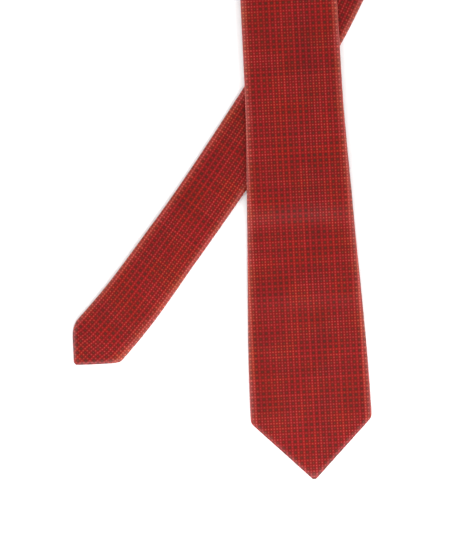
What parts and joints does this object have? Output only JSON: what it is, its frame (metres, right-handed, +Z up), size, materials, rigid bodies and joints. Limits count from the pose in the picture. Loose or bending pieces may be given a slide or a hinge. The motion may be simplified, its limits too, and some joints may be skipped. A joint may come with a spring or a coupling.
{
  "type": "necktie",
  "caption": "Long pointed necktie of folded patterned silk, lying flat with its wide blade over its narrow tail and its neck band in a loop.",
  "frame": {"origin": "middle of the tie's footprint, on the table it lies on", "axes": "+Z up from the table, +Y towards the neck loop, +X to the right of the blade seen from its front face"},
  "size_m": [0.2986, 0.6957, 0.0411],
  "materials": {
    "patterned_silk": "woven silk, red with small dark squares, satin sheen",
    "wool_interlining": "brushed wool, undyed",
    "tipping_lining": "plain twill lining, dark red",
    "sewing_thread": "silk thread, dark red",
    "label_satin": "blank black satin",
    "care_tape": "blank white tape"
  },
  "bodies": {
    "crossing": {"blade_shell_crossing": "patterned_silk", "tail_shell_crossing": "patterned_silk", "blade_interlining_crossing": "wool_interlining", "tail_interlining_crossing": "wool_interlining", "slip_stitch_crossing": "sewing_thread", "slip_stitch_tail_crossing": "sewing_thread"},
    "neck": {"blade_shell_neck": "patterned_silk", "neck_shell": "patterned_silk", "tail_shell_neck": "patterned_silk", "neck_interlining": "wool_interlining", "slip_stitch_neck": "sewing_thread", "blade_neck_seam": "sewing_thread", "tail_neck_seam": "sewing_thread"},
    "blade_middle": {"blade_shell_middle": "patterned_silk", "blade_interlining_middle": "wool_interlining", "slip_stitch_middle": "sewing_thread", "keeper_loop": "patterned_silk", "keeper_stitches": "sewing_thread", "maker_label": "label_satin", "label_stitches": "sewing_thread"},
    "blade_end": {"blade_shell_end": "patterned_silk", "blade_interlining_end": "wool_interlining", "blade_tipping": "tipping_lining", "blade_hem_stitches": "sewing_thread", "blade_bar_tack": "sewing_thread", "slip_stitch_end": "sewing_thread"},
    "tail_end": {"tail_shell_end": "patterned_silk", "tail_interlining_end": "wool_interlining", "tail_tipping": "tipping_lining", "tail_hem_stitches": "sewing_thread", "tail_bar_tack": "sewing_thread", "slip_stitch_tail_end": "sewing_thread", "care_label": "care_tape"}
  },
  "joints": [
    {"name": "blade_lift", "type": "hinge", "parent": "crossing", "child": "blade_middle", "pos_m": [0.01013, -0.1536, 0.007], "axis": [-0.9985, -0.0541, 0], "range_deg": [0, 90]},
    {"name": "blade_end_lift", "type": "hinge", "parent": "blade_middle", "child": "blade_end", "pos_m": [0.01426, -0.22997, 0.00405], "axis": [-0.9985, -0.0541, 0], "range_deg": [0, 90]},
    {"name": "tail_lift", "type": "hinge", "parent": "crossing", "child": "tail_end", "pos_m": [-0.04716, -0.13803, 0.0034], "axis": [-0.8284, 0.5602, 0], "range_deg": [0, 75]},
    {"name": "neck_lift", "type": "hinge", "parent": "crossing", "child": "neck", "pos_m": [0.03621, 0.08801, 0.0034], "axis": [0.9808, -0.1951, 0], "range_deg": [0, 90]}
  ]
}
